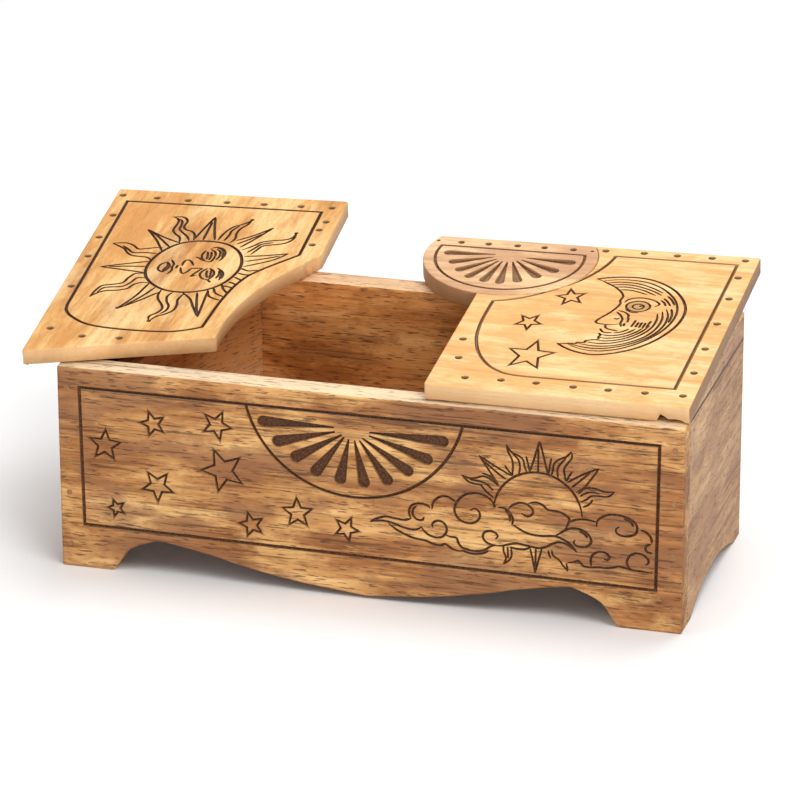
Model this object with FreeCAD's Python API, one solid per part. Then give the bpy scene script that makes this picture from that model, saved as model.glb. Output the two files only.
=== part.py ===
import FreeCAD, Part
import math
import os
from FreeCAD import Placement, Rotation, Vector

# A nailed wooden keepsake box on scrolled feet, with two loose lids lying askew on its sloping rim.
# Millimetres. X runs to the right along the front, Y from front to back, Z up.
# The box is laid out from its front left bottom corner, and the whole part is moved at the end so that
# the origin is under the middle of everything.

# Driving dimensions of the box
box_length = 260.0
box_depth = 107.0
front_height = 87.0
rim_slope_deg = 6.0
board = 10.0
overrun = 2.0
glue_gap = 0.05

# Scrolled lower edge of the front and back panels
front_left_foot = 22.0
front_right_foot = 26.0
back_foot = 14.0
arch_run = 22.5
arch_rise = 14.6
centre_drop = 1.2
arch_run_shares = (0.12, 0.32, 0.74, 1.0)
arch_rise_shares = (0.24, 0.67, 0.96, 1.0)
scroll_run_shares = (0.23, 0.38, 0.67)
scroll_fall_shares = (0.25, 0.48, 0.80)

# Side boards
side_front_foot = 5.0
side_back_foot = 10.0
side_arch_rise = 8.0

# Bottom board and the ledger strips that carry it
floor_thickness = 5.0
floor_gap = 0.3
floor_top = 25.0
ledger_width = 8.0
ledger_height = 5.0

# Divider, a board set at a slant and let into stopped grooves in the front and back panels
divider_front_x = 26.0
divider_back_x = 56.0
divider_thickness = 8.0
divider_tongue = 3.0
divider_stop = 10.0
divider_fit = 0.1
divider_top_gap = 3.5

# Lids
lid_thickness = 7.4
lid_seat = 0.05
left_lid_x = -13.3
left_lid_y = -3.0
left_lid_turn_deg = 4.5
left_lid_width = 101.0
left_lid_length = 158.0
left_slant_run = 75.0
left_slant_rise = 22.2
hollow_end_rise = 101.8
hollow_depth = 7.6
right_lid_overhang = 0.8
right_lid_y = 3.0
right_lid_turn_deg = 0.7
right_lid_width = 107.5
right_lid_length = 140.0
right_lid_skew = 4.1

# Fan medallion, a round plate with a flat back edge, let into the right lid
fan_radius = 36.6
fan_centre_x = 5.3
fan_centre_from_back = 15.7

# Main carving: a frame line on the front and on each lid, the fan on the front, and the sun's disc
groove_width = 1.4
groove_depth = 1.0
front_frame_left = 9.8
front_frame_right = 10.5
front_frame_top = 8.0
front_frame_low = 18.4
front_fan_share = 0.481
front_fan_rise = 3.0
front_fan_radius = 46.3
petal_hub_drop = 14.0
petal_margin = 6.4
petal_start = 6.0
petal_tip_width = 0.6
petal_end_radius = 2.15
petal_depth = 1.3
petal_turns_deg = (0.9, 15.2, 31.3, 52.0, 76.6, 102.0, 125.0, 146.0, 162.7, 178.0)
sun_disc_width = 39.0
sun_disc_length = 49.2
sun_disc_x_share = 0.501
sun_disc_y_share = 0.544
left_frame_shares = (
    (0.065, 0.922), (0.911, 0.922), (0.910, 0.648), (0.781, 0.544), (0.724, 0.472), (0.689, 0.359),
    (0.668, 0.192), (0.509, 0.156), (0.341, 0.163), (0.208, 0.181), (0.124, 0.233), (0.075, 0.285),
)
right_frame_shares = (
    (0.449, 0.924), (0.924, 0.937), (0.914, 0.109), (0.343, 0.101), (0.269, 0.110), (0.195, 0.151),
    (0.137, 0.220), (0.101, 0.299), (0.085, 0.371), (0.080, 0.558), (0.168, 0.589), (0.268, 0.653),
    (0.358, 0.735), (0.426, 0.842),
)

# Brads and dowels
brad_head_radius = 1.1
brad_head_height = 0.6
brad_radius = 0.7
brad_clearance = 0.05
wall_brad_length = 25.0
floor_brad_length = 9.0
ledger_brad_length = 13.0
brad_end_inset = 4.0
front_brad_low = 10.0
back_brad_low = 18.0
brad_top_margin = 9.0
brad_rows = 4
floor_brad_shares = (0.10, 0.37, 0.63, 0.90)
ledger_brad_shares = (0.25, 0.50, 0.75)
end_brad_shares = (0.30, 0.70)
dowel_radius = 2.0
dowel_depth = 8.0
strip_dowel_shares = (0.58, 0.85)
strip_dowel_up_share = 0.65
fan_dowel_angles_deg = (-62.0, -18.0)

slope = math.radians(rim_slope_deg)
inner_left = board
inner_right = box_length - board
inner_front = board
inner_back = box_depth - board
floor_under = floor_top - floor_thickness
divider_slant = math.atan2(divider_back_x - divider_front_x, inner_back - inner_front)
divider_run = divider_thickness / math.cos(divider_slant)
tongue_top = front_height - divider_stop
right_lid_x = box_length + right_lid_overhang - right_lid_width


def rim_height(y):
    return front_height + y * math.tan(slope)


def share_of(low, high, share):
    return low + (high - low) * share


def block(low, high):
    return Part.makeBox(high[0] - low[0], high[1] - low[1], high[2] - low[2], Vector(*low))


def above_rim(drop):
    # everything above a plane that lies this far below the plane of the rim
    reach = box_length + box_depth
    space = Part.makeBox(box_length + 2 * overrun, reach, reach, Vector(-overrun, -overrun, 0))
    space.rotate(Vector(0, 0, 0), Vector(1, 0, 0), rim_slope_deg)
    space.translate(Vector(0, 0, front_height - drop))
    return space


def scroll(foot_edge, middle):
    # half of the lower edge, from the inner edge of a foot over the arch to the drop in the middle
    way = 1 if middle > foot_edge else -1
    points = [Vector(foot_edge, 0, 0)]
    for run, rise in zip(arch_run_shares, arch_rise_shares):
        points.append(Vector(foot_edge + way * arch_run * run, 0, arch_rise * rise))
    top_x = foot_edge + way * arch_run
    for run, fall in zip(scroll_run_shares, scroll_fall_shares):
        points.append(Vector(share_of(top_x, middle, run), 0, share_of(arch_rise, centre_drop, fall)))
    points.append(Vector(middle, 0, centre_drop))
    curve = Part.BSplineCurve()
    curve.interpolate(Points=points)
    return curve.toShape()


def line(*ends):
    return Part.LineSegment(*[Vector(*end) for end in ends]).toShape()


def scrolled_panel(left, right, front, back, left_foot, right_foot):
    middle = (left + right) / 2
    top = rim_height(back)
    left_edge = left + left_foot
    right_edge = right - right_foot
    edges = [
        line((left, 0, 0), (left_edge, 0, 0)),
        scroll(left_edge, middle),
        scroll(right_edge, middle),
        line((right_edge, 0, 0), (right, 0, 0)),
        line((right, 0, 0), (right, 0, top)),
        line((right, 0, top), (left, 0, top)),
        line((left, 0, top), (left, 0, 0)),
    ]
    face = Part.Face(Part.Wire(Part.__sortEdges__(edges)))
    panel = face.extrude(Vector(0, back - front, 0))
    panel.translate(Vector(0, front, 0))
    return panel.cut(above_rim(0))


def side_board(left):
    toe = inner_front + side_front_foot
    heel = box_depth - side_back_foot
    crown = Vector(left, (toe + heel) / 2, side_arch_rise)
    arch = Part.Arc(Vector(left, toe, 0), crown, Vector(left, heel, 0))
    edges = [
        line((left, inner_front, 0), (left, toe, 0)),
        arch.toShape(),
        line((left, heel, 0), (left, box_depth, 0)),
        line((left, box_depth, 0), (left, box_depth, front_height)),
        line((left, box_depth, front_height), (left, inner_front, front_height)),
        line((left, inner_front, front_height), (left, inner_front, 0)),
    ]
    return Part.Face(Part.Wire(edges)).extrude(Vector(board, 0, 0))


def side_strip(left):
    # tapered strip that fills the side from the board's level top up to the sloping rim
    low = (left, inner_front, front_height)
    high = (left + board, box_depth, rim_height(box_depth))
    return block(low, high).cut(above_rim(0))


def divider_face(y):
    # the right face of the divider, on its way from the front panel to the back panel
    return share_of(divider_front_x, divider_back_x, (y - inner_front) / (inner_back - inner_front))


def divider_slab(front, back, top, spare):
    # the slanting board between two places along Y, from the floor up, with something to spare on each side
    corners = []
    for y, step in ((front, spare), (back, spare), (back, -divider_run - spare), (front, -divider_run - spare)):
        corners.append(Vector(divider_face(y) + step, y, floor_top))
    return Part.Face(Part.makePolygon(corners + corners[:1])).extrude(Vector(0, 0, top - floor_top))


def divider_plate():
    front = inner_front - divider_tongue + divider_fit
    back = inner_back + divider_tongue - divider_fit
    tongues = divider_slab(front, back, tongue_top, 0)
    plate = divider_slab(inner_front + divider_fit, inner_back - divider_fit, rim_height(box_depth), 0)
    return plate.cut(above_rim(divider_top_gap)).fuse(tongues).removeSplitter()


def divider_groove(front, back):
    return divider_slab(front, back, tongue_top + divider_fit, divider_fit)


def brad(length, clearance):
    head = Part.makeCylinder(brad_head_radius + clearance, brad_head_height, Vector(0, 0, -brad_head_height))
    shank = Part.makeCylinder(brad_radius + clearance, length + clearance, Vector(0, 0, -length - clearance))
    return head.fuse(shank).removeSplitter()


def driven(places, length, clearance=0.0):
    # one brad at each place, driven in along its direction, with its head level with the surface
    brads = []
    for spot, way in places:
        nail = brad(length, clearance)
        nail.Placement = Placement(spot, Rotation(Vector(0, 0, -1), way))
        brads.append(nail)
    return Part.makeCompound(brads)


def rows(low, high, count):
    return [share_of(low, high, row / (count - 1)) for row in range(count)]


def front_brad_places():
    places = []
    for z in rows(front_brad_low, front_height - brad_top_margin, brad_rows):
        for x in (brad_end_inset, box_length - brad_end_inset):
            places.append((Vector(x, 0, z), Vector(0, 1, 0)))
    return places


def back_brad_places():
    y = box_depth - board / 2
    places = []
    for z in rows(back_brad_low, front_height - brad_top_margin, brad_rows):
        places.append((Vector(0, y, z), Vector(1, 0, 0)))
        places.append((Vector(box_length, y, z), Vector(-1, 0, 0)))
    return places


def floor_brad_places():
    inset = board + ledger_width / 2
    places = []
    for share in floor_brad_shares:
        x = share_of(inner_left, inner_right, share)
        for y in (inset, box_depth - inset):
            places.append((Vector(x, y, floor_top), Vector(0, 0, -1)))
    for x in (inset, box_length - inset):
        places.append((Vector(x, box_depth / 2, floor_top), Vector(0, 0, -1)))
    return places


def ledger_brad_places():
    z = floor_under - ledger_height / 2
    inset = board + ledger_width
    places = []
    for share in ledger_brad_shares:
        x = share_of(inner_left, inner_right, share)
        places.append((Vector(x, inset, z), Vector(0, -1, 0)))
        places.append((Vector(x, box_depth - inset, z), Vector(0, 1, 0)))
    for share in end_brad_shares:
        y = share_of(inner_front, inner_back, share)
        places.append((Vector(inset, y, z), Vector(-1, 0, 0)))
        places.append((Vector(box_length - inset, y, z), Vector(1, 0, 0)))
    return places


def strip_dowels(clearance):
    # upright dowels between each side board and its tapered strip
    dowels = []
    for x in (board / 2, box_length - board / 2):
        for share in strip_dowel_shares:
            y = share_of(0, box_depth, share)
            up = (rim_height(y) - front_height) * strip_dowel_up_share
            base = Vector(x, y, front_height - dowel_depth - clearance)
            length = dowel_depth + up + 2 * clearance
            dowels.append(Part.makeCylinder(dowel_radius + clearance, length, base))
    return Part.makeCompound(dowels)


def front_frame():
    # the frame line round the carving on the front
    half = groove_width / 2
    left = front_frame_left
    right = box_length - front_frame_right
    low = front_frame_low
    top = front_height - front_frame_top
    outer = block((left - half, 0, low - half), (right + half, groove_depth, top + half))
    inner = block((left + half, 0, low + half), (right - half, groove_depth, top - half))
    return outer.cut(inner)


def front_fan_arc():
    half = groove_width / 2
    centre = Vector(box_length * front_fan_share, 0, front_height + front_fan_rise)
    inward = Vector(0, 1, 0)
    ring = Part.makeCylinder(front_fan_radius + half, groove_depth, centre, inward)
    ring = ring.cut(Part.makeCylinder(front_fan_radius - half, groove_depth, centre, inward))
    return ring.common(block((0, 0, 0), (box_length, groove_depth, front_height - front_frame_top)))


def front_petal(turn_deg):
    # a wedge that spreads from near the hub to a round end inside the fan's arc
    turn = math.radians(turn_deg)
    way = Vector(-math.cos(turn), 0, -math.sin(turn))
    across = Vector(-way.z, 0, way.x)
    hub = Vector(box_length * front_fan_share, 0, front_height - petal_hub_drop)
    lift = (front_fan_rise + petal_hub_drop) * way.z
    reach = front_fan_radius - petal_margin
    level = (front_fan_rise + petal_hub_drop) * way.x
    end = hub + way * (lift + math.sqrt(reach * reach - level * level))
    tip = hub + way * petal_start
    tip_side = across * (petal_tip_width / 2)
    end_side = across * petal_end_radius
    corners = [tip + tip_side, end + end_side, end - end_side, tip - tip_side]
    wedge = Part.Face(Part.makePolygon(corners + corners[:1])).extrude(Vector(0, petal_depth, 0))
    return wedge.fuse(Part.makeCylinder(petal_end_radius, petal_depth, end, Vector(0, 1, 0)))


def front_carving():
    petals = [front_petal(turn) for turn in petal_turns_deg]
    return Part.makeCompound([front_frame().fuse(front_fan_arc())] + petals)


def lid_frame(shares, width, length):
    # the frame line on a lid, its corners given as shares of the lid's width and length
    points = [Vector(width * across, length * along, lid_thickness) for across, along in shares]
    loop = Part.makePolygon(points + points[:1])
    half = groove_width / 2
    outer = Part.Face(loop.makeOffset2D(half))
    inner = Part.Face(loop.makeOffset2D(-half))
    return outer.cut(inner).extrude(Vector(0, 0, -groove_depth))


def sun_disc():
    # the round line of the sun's face
    half = groove_width / 2
    centre = Vector(left_lid_width * sun_disc_x_share, left_lid_length * sun_disc_y_share, lid_thickness)
    ovals = []
    for grow in (half, -half):
        long_side = Vector(0, sun_disc_length / 2 + grow, 0)
        short_side = Vector(sun_disc_width / 2 + grow, 0, 0)
        oval = Part.Ellipse(long_side, short_side, Vector(0, 0, 0)).toShape()
        oval.translate(centre)
        ovals.append(Part.Face(Part.Wire(oval)))
    return ovals[0].cut(ovals[1]).extrude(Vector(0, 0, -groove_depth))


def on_rim(shape, x, y, turn_deg):
    # lays a lid, made flat with its front left corner at the origin, on the sloping rim
    laid = shape.copy()
    laid.rotate(Vector(0, 0, 0), Vector(0, 0, 1), turn_deg)
    laid.translate(Vector(x, y, lid_seat))
    laid.rotate(Vector(0, 0, 0), Vector(1, 0, 0), rim_slope_deg)
    laid.translate(Vector(0, 0, front_height))
    return laid


def left_lid_board():
    # an oblong board whose front edge is cut at a slant and whose front right corner is hollowed out
    start = Vector(left_slant_run, left_slant_rise, 0)
    end = Vector(left_lid_width, hollow_end_rise, 0)
    chord = end - start
    inward = Vector(-chord.y, chord.x, 0).normalize()
    middle = (start + end) / 2 + inward * hollow_depth
    edges = [
        line((0, 0, 0), tuple(start)),
        Part.Arc(start, middle, end).toShape(),
        line(tuple(end), (left_lid_width, left_lid_length, 0)),
        line((left_lid_width, left_lid_length, 0), (0, left_lid_length, 0)),
        line((0, left_lid_length, 0), (0, 0, 0)),
    ]
    oblong = Part.Face(Part.Wire(edges)).extrude(Vector(0, 0, lid_thickness))
    return oblong.cut(lid_frame(left_frame_shares, left_lid_width, left_lid_length)).cut(sun_disc())


def back_edge(x):
    # the right lid's back edge, sawn a little out of square; the medallion's flat edge lies in line with it
    return right_lid_length - right_lid_skew * (1 - x / right_lid_width)


def right_lid_slab(left, right, front):
    corners = [(left, front, 0), (right, front, 0), (right, back_edge(right), 0), (left, back_edge(left), 0)]
    outline = Part.makePolygon([Vector(*corner) for corner in corners + corners[:1]])
    return Part.Face(outline).extrude(Vector(0, 0, lid_thickness))


def fan_centre(height):
    return Vector(fan_centre_x, back_edge(fan_centre_x) - fan_centre_from_back, height)


def fan_round(clearance):
    return Part.makeCylinder(fan_radius + clearance, lid_thickness, fan_centre(0))


def fan_plate():
    reach = fan_radius + overrun
    front = fan_centre(0).y - reach
    return fan_round(0).common(right_lid_slab(fan_centre_x - reach, fan_centre_x + reach, front))


def fan_dowels(clearance):
    # dowels that lie in the lid's thickness, across the round joint between medallion and lid
    dowels = []
    for angle in fan_dowel_angles_deg:
        way = Vector(math.cos(math.radians(angle)), math.sin(math.radians(angle)), 0)
        start = fan_centre(lid_thickness / 2) + way * (fan_radius - dowel_depth - clearance)
        dowels.append(Part.makeCylinder(dowel_radius + clearance, 2 * (dowel_depth + clearance), start, way))
    return Part.makeCompound(dowels)


def right_lid_board():
    slab = right_lid_slab(0, right_lid_width, 0).cut(fan_round(glue_gap))
    return slab.cut(lid_frame(right_frame_shares, right_lid_width, right_lid_length))


def on_right(shape):
    return on_rim(shape, right_lid_x, right_lid_y, right_lid_turn_deg)


def build():
    wall_holes = driven(front_brad_places() + back_brad_places(), wall_brad_length, brad_clearance)
    ledger_holes = driven(ledger_brad_places(), ledger_brad_length, brad_clearance)
    floor_holes = driven(floor_brad_places(), floor_brad_length, brad_clearance)
    strip_holes = strip_dowels(glue_gap)
    fan_holes = fan_dowels(glue_gap)
    wall_cuts = Part.makeCompound([wall_holes, ledger_holes])
    side_cuts = Part.makeCompound([wall_holes, ledger_holes, strip_holes])
    ledger_cuts = Part.makeCompound([ledger_holes, floor_holes])
    ledger_inner = board + ledger_width
    ledger_under = floor_under - ledger_height

    front = scrolled_panel(0, box_length, 0, inner_front, front_left_foot, front_right_foot)
    back = scrolled_panel(inner_left, inner_right, inner_back, box_depth, back_foot, back_foot)
    front = front.cut(divider_groove(inner_front - divider_tongue, inner_front + overrun))
    front = front.cut(front_carving())
    back = back.cut(divider_groove(inner_back - overrun, inner_back + divider_tongue))
    floor = block(
        (inner_left + floor_gap, inner_front + floor_gap, floor_under),
        (inner_right - floor_gap, inner_back - floor_gap, floor_top),
    )
    ledgers = {
        "front_ledger": ((inner_left, inner_front), (inner_right, ledger_inner)),
        "back_ledger": ((inner_left, box_depth - ledger_inner), (inner_right, inner_back)),
        "left_ledger": ((inner_left, ledger_inner), (ledger_inner, box_depth - ledger_inner)),
        "right_ledger": ((box_length - ledger_inner, ledger_inner), (inner_right, box_depth - ledger_inner)),
    }
    nodes = {
        "front_panel": front.cut(wall_cuts),
        "back_panel": back.cut(wall_cuts),
        "left_side_board": side_board(0).cut(side_cuts),
        "right_side_board": side_board(inner_right).cut(side_cuts),
        "left_side_strip": side_strip(0).cut(strip_holes),
        "right_side_strip": side_strip(inner_right).cut(strip_holes),
        "bottom_board": floor.cut(floor_holes),
        "divider": divider_plate(),
        "front_brads": driven(front_brad_places(), wall_brad_length),
        "back_brads": driven(back_brad_places(), wall_brad_length),
        "floor_brads": driven(floor_brad_places(), floor_brad_length),
        "ledger_brads": driven(ledger_brad_places(), ledger_brad_length),
        "strip_dowels": strip_dowels(0),
        "left_lid": on_rim(left_lid_board(), left_lid_x, left_lid_y, left_lid_turn_deg),
        "right_lid": on_right(right_lid_board().cut(fan_holes)),
        "fan_medallion": on_right(fan_plate().cut(fan_holes)),
        "fan_dowels": on_right(fan_dowels(0)),
    }
    for name, (low, high) in ledgers.items():
        nodes[name] = block((*low, ledger_under), (*high, floor_under)).cut(ledger_cuts)
    return nodes


nodes = build()
span = Part.makeCompound(list(nodes.values())).BoundBox
origin = Vector((span.XMin + span.XMax) / 2, (span.YMin + span.YMax) / 2, span.ZMin)
print("origin in the box's own layout: %.3f %.3f %.3f" % tuple(origin))
print("overall: %.2f x %.2f x %.2f" % (span.XLength, span.YLength, span.ZLength))
os.makedirs("parts", exist_ok=True)
for name, shape in nodes.items():
    shape.translate(-origin)
    shape.exportStep("parts/%s.step" % name)
    state = "valid" if shape.isValid() else "not valid"
    print(name, len(shape.Solids), "solids", round(shape.Volume), "mm3", state)
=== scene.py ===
import math

import bmesh
import bpy
import numpy as np
from mathutils import Matrix, Vector
from mathutils.geometry import delaunay_2d_cdt


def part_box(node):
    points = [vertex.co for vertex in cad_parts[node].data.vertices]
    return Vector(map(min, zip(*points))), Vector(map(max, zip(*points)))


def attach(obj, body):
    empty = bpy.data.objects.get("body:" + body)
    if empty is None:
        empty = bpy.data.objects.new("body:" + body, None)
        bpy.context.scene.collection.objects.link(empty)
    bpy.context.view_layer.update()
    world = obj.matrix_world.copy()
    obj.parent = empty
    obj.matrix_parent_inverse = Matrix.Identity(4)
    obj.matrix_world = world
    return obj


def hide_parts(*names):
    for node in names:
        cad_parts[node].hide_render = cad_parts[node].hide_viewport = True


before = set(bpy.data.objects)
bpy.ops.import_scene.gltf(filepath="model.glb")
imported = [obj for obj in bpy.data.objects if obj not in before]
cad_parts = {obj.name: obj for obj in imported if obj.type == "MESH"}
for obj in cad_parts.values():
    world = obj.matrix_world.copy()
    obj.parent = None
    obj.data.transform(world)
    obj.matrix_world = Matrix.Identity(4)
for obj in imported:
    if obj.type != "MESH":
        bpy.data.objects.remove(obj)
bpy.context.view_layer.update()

# Carved wooden keepsake box. Carving is laid out in millimetres from the box's front left bottom corner:
# on the front as (along, up), on the lids as (along, up the slope of the rim).
mm = 0.001
metre = 1000  # in millimetres
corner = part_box("front_panel")[0]  # the front left bottom corner, in the frame
rim = {"height": 87.0, "slope": math.radians(6.0), "lidTop": 7.45, "slopeFrom": 80, "slopeRun": 5}
print("frame loaded", len(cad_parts), "nodes")


# shader wiring
class Wire:
    def __init__(self, tree, socket=None):
        self.tree = tree
        self.socket = socket

    def node(self, kind, settings=None, sockets=None, output=0):
        made = self.tree.nodes.new(kind)
        for key, value in (settings or {}).items():
            if key == "stops":
                ramp = made.color_ramp
                while len(ramp.elements) < len(value):
                    ramp.elements.new(0.5)
                for element, (place, colour) in zip(ramp.elements, value):
                    element.position = place
                    element.color = colour
            else:
                setattr(made, key, value)
        for key, value in (sockets or {}).items():
            if isinstance(value, Wire):
                self.tree.links.new(value.socket, made.inputs[key])
            else:
                made.inputs[key].default_value = value
        return Wire(self.tree, made.outputs[output] if made.outputs else None)

    def maths(self, operation, left, right):
        return self.node("ShaderNodeMath", {"operation": operation}, {0: left, 1: right})

    def __add__(self, other):
        return self.maths("ADD", self, other)

    def __radd__(self, other):
        return self.maths("ADD", other, self)

    def __sub__(self, other):
        return self.maths("SUBTRACT", self, other)

    def __rsub__(self, other):
        return self.maths("SUBTRACT", other, self)

    def __mul__(self, other):
        return self.maths("MULTIPLY", self, other)

    def __rmul__(self, other):
        return self.maths("MULTIPLY", other, self)


def blankTree(owner):
    # an empty node tree for a material or the world
    owner.use_nodes = True
    owner.node_tree.nodes.clear()
    return Wire(owner.node_tree)


def objectFrom(name, mesh):
    data = bpy.data.meshes.new(name)
    mesh.to_mesh(data)
    mesh.free()
    made = bpy.data.objects.new(name, data)
    bpy.context.scene.collection.objects.link(made)
    return made


def paint(red, green, blue):
    # screen colour, 0 to 255, to the linear colour that the shader takes
    parts = [c / 255 for c in (red, green, blue)]
    return tuple(c / 12.92 if c <= 0.04045 else ((c + 0.055) / 1.055) ** 2.4 for c in parts) + (1.0,)


def noise(wire, vector, detail, roughness, scale=1.0, output="Fac"):
    sockets = {"Vector": vector, "Scale": scale, "Detail": detail, "Roughness": roughness}
    return wire.node("ShaderNodeTexNoise", {}, sockets, output)


def blend(wire, factor, first, second):
    return wire.node("ShaderNodeMix", {"data_type": "RGBA"}, {0: factor, 6: first, 7: second}, 2)


def ramped(wire, factor, low, high):
    # 0 below low, 1 above high
    stops = [(low, (0, 0, 0, 1)), (high, (1, 1, 1, 1))]
    return wire.node("ShaderNodeValToRGB", {"stops": stops}, {0: factor})


woodNoise = {  # repeats per metre along the grain and across it, and how much each adds
    "sway": (2.0, 0.5, 0.7), "swayReach": (1.5, 1.5, 1.5), "figureShare": 0.68, "fibre": (14.0, 300.0),
    "fibreShare": 0.32, "line": (24.0, 640.0), "pore": (170.0, 1500.0), "knot": (18.0, 30.0),
    "knotStray": 0.05,
}
woodDetail = {  # detail and roughness of each noise, and its scale where it isn't stretched
    "figure": (6.0, 0.62), "fibre": (4.0, 0.65), "patch": (6.0, 0.66), "line": (3.0, 0.6), "pore": (2.0, 0.5),
    "speck": (3.0, 0.6, 1300.0),
}
woodRange = {  # where each pattern starts to show and where it is full
    "patch": (0.49, 0.57), "glow": (0.36, 0.45), "top": (0.85, 0.97), "line": (0.55, 0.68),
    "pore": (0.58, 0.68), "knot": (0.07, 0.13), "joint": (0.35, 0.95), "edge": (0.3, 0.7), "end": (0.6, 0.85),
    "speck": (0.38, 0.64),
}
woodSurface = {
    "fibreRough": 0.22, "burnRough": 0.15, "bumpHeight": 0.0004, "shine": 0.35, "sootStart": 0.02,
    "soot": 0.85, "fibreSoot": 0.3, "heights": (0.5, 0.45, 0.4),
}


def woodMaterial(name, look):
    made = bpy.data.materials.new(name)
    start = blankTree(made)
    place = start.node("ShaderNodeTexCoord", output="Object")
    if look.get("turn"):
        turn = (0.0, 0.0, math.radians(look["turn"]))
        place = start.node("ShaderNodeMapping", {}, {"Vector": place, "Rotation": turn})

    def stretched(length, across):
        size = [across, across, across]
        size[look["grain"]] = length
        laid = {"Vector": place, "Location": look["shift"], "Scale": size}
        return start.node("ShaderNodeMapping", {}, laid)

    def mask(value, kind):
        return ramped(start, value, *woodRange[kind])

    def stained(under, where, share, tint):
        return blend(start, where * look[share], under, look[tint])

    broad = stretched(*look["figure"])
    sway = noise(start, broad, *woodNoise["sway"], "Color")
    swayed = {0: sway, 1: woodNoise["swayReach"], 2: broad}
    bent = start.node("ShaderNodeVectorMath", {"operation": "MULTIPLY_ADD"}, swayed)
    figure = noise(start, bent, *woodDetail["figure"])
    fibre = noise(start, stretched(*woodNoise["fibre"]), *woodDetail["fibre"])
    tone = figure * woodNoise["figureShare"] + fibre * woodNoise["fibreShare"]
    colour = start.node("ShaderNodeValToRGB", {"stops": look["stops"]}, {0: tone})
    mottle = noise(start, stretched(*look["patch"]), *woodDetail["patch"])
    colour = stained(colour, mask(mottle, "patch"), "patchShare", "patchColour")
    colour = stained(colour, 1 - mask(mottle, "glow"), "glowShare", "glowColour")
    # the divider turns darker below a slanting, wavering line across its face
    if look.get("slantDark"):
        slantDark = look["slantDark"]
        dotted = {0: place, 1: slantDark["way"]}
        rise = start.node("ShaderNodeVectorMath", {"operation": "DOT_PRODUCT"}, dotted, "Value")
        inside = 1 - ramped(start, rise * metre + figure * slantDark["stray"], slantDark["low"], slantDark["high"])
        colour = blend(start, inside * slantDark["share"], colour, slantDark["colour"])
    facing = start.node("ShaderNodeNewGeometry", output="Normal")
    up = start.node("ShaderNodeSeparateXYZ", {}, {0: facing}, "Z")
    # painted highlight: faces turned upward are lightened towards a pale colour, standing in for light from
    # above
    if look.get("topLightShare"):
        colour = stained(colour, mask(up, "top"), "topLightShare", "topLightColour")
    lines = mask(noise(start, stretched(*woodNoise["line"]), *woodDetail["line"]), "line")
    colour = stained(colour, lines, "lineShare", "lineColour")
    pores = mask(noise(start, stretched(*woodNoise["pore"]), *woodDetail["pore"]), "pore")
    colour = stained(colour, pores, "poreShare", "lineColour")
    if look.get("knotShare"):
        spread = {"Vector": stretched(*woodNoise["knot"]), "Scale": 1.0}
        cells = start.node("ShaderNodeTexVoronoi", {}, spread, "Distance")
        knots = 1 - mask(cells + fibre * woodNoise["knotStray"], "knot")
        colour = stained(colour, knots, "knotShare", "lineColour")
    # painted shade: a thin dark band at the rim's height on the side boards stands in for the shadow in the
    # gap between board and strip
    if look.get("joint"):
        level = start.node("ShaderNodeSeparateXYZ", {}, {0: place}, "Z")
        off = start.maths("ABSOLUTE", level * metre - look["joint"], 0)
        colour = blend(start, 1 - mask(off, "joint"), colour, look["lineColour"])
    if look.get("edgeShare"):
        colour = stained(colour, 1 - mask(up, "edge"), "edgeShare", "edgeColour")
    if look.get("endShare"):
        along = start.node("ShaderNodeSeparateXYZ", {}, {0: facing}, "XYZ"[look["grain"]])
        ends = mask(start.maths("ABSOLUTE", along, 0), "end")
        colour = stained(colour, ends, "endShare", "endColour")
    burn = start.node("ShaderNodeAttribute", {"attribute_name": "burn"}, {}, "Fac")
    sootRange = (woodSurface["sootStart"], look["sootTop"])
    soot = ramped(start, burn * (woodSurface["soot"] + fibre * woodSurface["fibreSoot"]), *sootRange)
    specks = mask(noise(start, place, *woodDetail["speck"]), "speck")
    colour = blend(start, soot, colour, blend(start, specks, look["burntDark"], look["burntLight"]))
    rough = look["rough"] + fibre * woodSurface["fibreRough"] + burn * woodSurface["burnRough"]
    ridge, furrow, pit = woodSurface["heights"]
    height = fibre * ridge - lines * furrow - pores * pit
    raised = {"Strength": look["bump"], "Distance": woodSurface["bumpHeight"], "Height": height}
    bump = start.node("ShaderNodeBump", {}, raised)
    finish = {"Base Color": colour, "Roughness": rough, "Normal": bump}
    finish["Specular IOR Level"] = woodSurface["shine"]
    shader = start.node("ShaderNodeBsdfPrincipled", {}, finish)
    start.node("ShaderNodeOutputMaterial", {}, {"Surface": shader})
    return made


def shades(*colours):
    # four wood colours from dark to light, set where the figure's noise really falls
    return [(place, paint(*colour)) for place, colour in zip((0.37, 0.46, 0.54, 0.64), colours)]


burnt = {"burntDark": paint(46, 24, 9), "burntLight": paint(108, 66, 34), "sootTop": 0.8}
boxLook = {
    **burnt, "grain": 0, "shift": (11.7, 3.9, 7.3), "figure": (14.0, 46.0), "patch": (20.0, 44.0),
    "stops": shades((118, 70, 34), (166, 108, 58), (206, 150, 90), (246, 198, 132)),
    "patchColour": paint(146, 98, 64), "patchShare": 0.66, "glowColour": paint(238, 186, 118),
    "glowShare": 0.6, "lineColour": paint(70, 38, 16), "lineShare": 0.66, "poreShare": 0.75, "topLightShare": 0.7,
    "topLightColour": paint(246, 224, 188), "rough": 0.48, "bump": 0.45,
}
sideLook = {
    **boxLook, "grain": 1, "shift": (1.3, 4.2, 0.3), "topLightShare": 0.5, "patchColour": paint(180, 134, 100),
    "patchShare": 0.6, "stops": shades((158, 113, 76), (197, 151, 109), (220, 175, 131), (242, 204, 160)),
    "lineShare": 0.5, "glowColour": paint(220, 178, 134), "glowShare": 0.5, "joint": rim["height"],
}
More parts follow.
